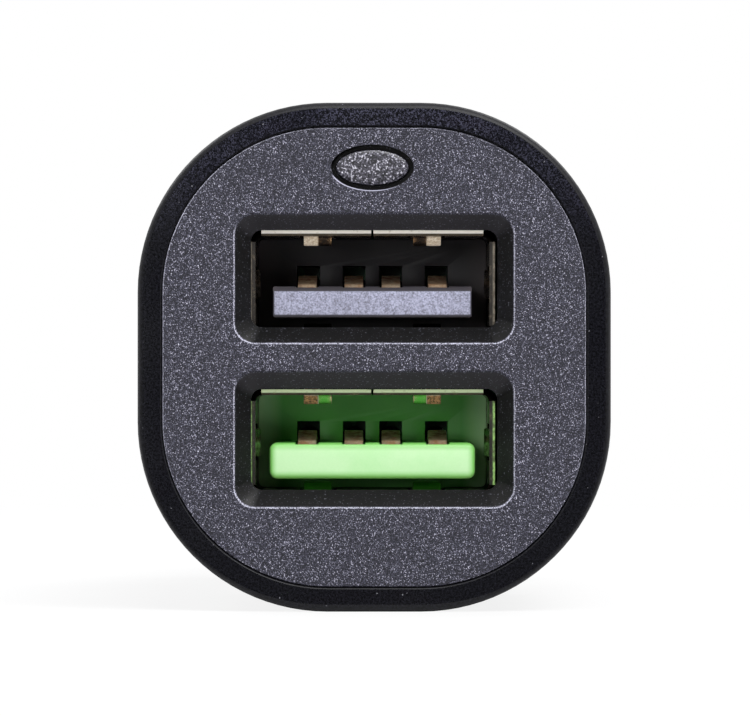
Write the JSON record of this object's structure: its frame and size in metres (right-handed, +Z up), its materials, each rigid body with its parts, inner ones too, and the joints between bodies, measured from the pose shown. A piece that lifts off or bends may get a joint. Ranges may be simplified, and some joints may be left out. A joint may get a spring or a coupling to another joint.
{
  "type": "car usb charger plug",
  "caption": "Plug-in power adapter for a vehicle's 12 V socket: rounded-square head with stacked USB-A ports in flared recesses, a barrel with sprung side contacts and a sprung nose contact.",
  "frame": {"origin": "on the plug's axis, where the collar meets the shoulder of the head", "axes": "+Y along the plug's axis towards the centre contact, so the ports face -Y; +Z up, towards the side of the head with the light pipe; +X to the right of someone who looks into the ports"},
  "size_m": [0.0252, 0.0665, 0.0272],
  "materials": {
    "housing": "glossy black moulding",
    "face_plate": "fine spark-eroded dark grey",
    "light_pipe": "coarse frosted translucent grey",
    "lamp": "lamp package",
    "board": "green solder mask",
    "port_shell": "bright nickel-plated sheet",
    "upper_tongue": "moulded grey",
    "lower_tongue": "moulded bright green",
    "port_contact": "plated copper alloy",
    "spring_sheet": "plated spring steel",
    "nose": "matt black moulding",
    "turned_metal": "turned and nickel plated",
    "spring_wire": "drawn wire",
    "cup_metal": "drawn brass",
    "ferrite": "pressed iron powder",
    "input_can": "sleeved aluminium can",
    "output_can": "bare aluminium can",
    "chip_package": "moulded package",
    "ceramic": "white ceramic body",
    "capacitor_ceramic": "tan ceramic chip",
    "resistor_film": "black film on ceramic"
  },
  "bodies": {
    "plug": {"housing": "housing", "face_plate": "face_plate", "light_pipe": "light_pipe", "status_led": "lamp", "front_board": "board", "main_board": "board", "upper_port_shell": "port_shell", "lower_port_shell": "port_shell", "upper_port_tongue": "upper_tongue", "lower_port_tongue": "lower_tongue", "nose_cap": "nose", "contact_spring": "spring_wire", "spring_cup": "cup_metal", "upper_inductor": "ferrite", "lower_inductor": "ferrite", "input_capacitor": "input_can", "upper_output_capacitor": "output_can", "lower_output_capacitor": "output_can", "upper_converter_chip": "chip_package", "lower_converter_chip": "chip_package", "charge_control_chip": "chip_package", "upper_diode": "chip_package", "lower_diode": "chip_package", "fuse": "ceramic", "ceramic_capacitors": "capacitor_ceramic", "resistors": "resistor_film", "upper_power_contact": "port_contact", "upper_data_minus_contact": "port_contact", "upper_data_plus_contact": "port_contact", "upper_ground_contact": "port_contact", "lower_power_contact": "port_contact", "lower_data_minus_contact": "port_contact", "lower_data_plus_contact": "port_contact", "lower_ground_contact": "port_contact"},
    "centre_contact": {"centre_contact": "turned_metal"},
    "left_side_contact": {"left_side_contact": "spring_sheet"},
    "right_side_contact": {"right_side_contact": "spring_sheet"}
  },
  "joints": [
    {"name": "centre_contact_press", "type": "slide", "parent": "plug", "child": "centre_contact", "axis": [0, -1, 0], "range_m": [0, 0.0025], "stiffness_N_per_m": 2000, "deforming": ["contact_spring"]},
    {"name": "left_contact_press", "type": "hinge", "parent": "plug", "child": "left_side_contact", "pos_m": [-0.00769, 0.006, 0], "axis": [0, 0, -1], "range_deg": [0, 9], "stiffness_Nm_per_rad": 0.25},
    {"name": "right_contact_press", "type": "hinge", "parent": "plug", "child": "right_side_contact", "pos_m": [0.00769, 0.006, 0], "axis": [0, 0, 1], "range_deg": [0, 9], "stiffness_Nm_per_rad": 0.25}
  ]
}
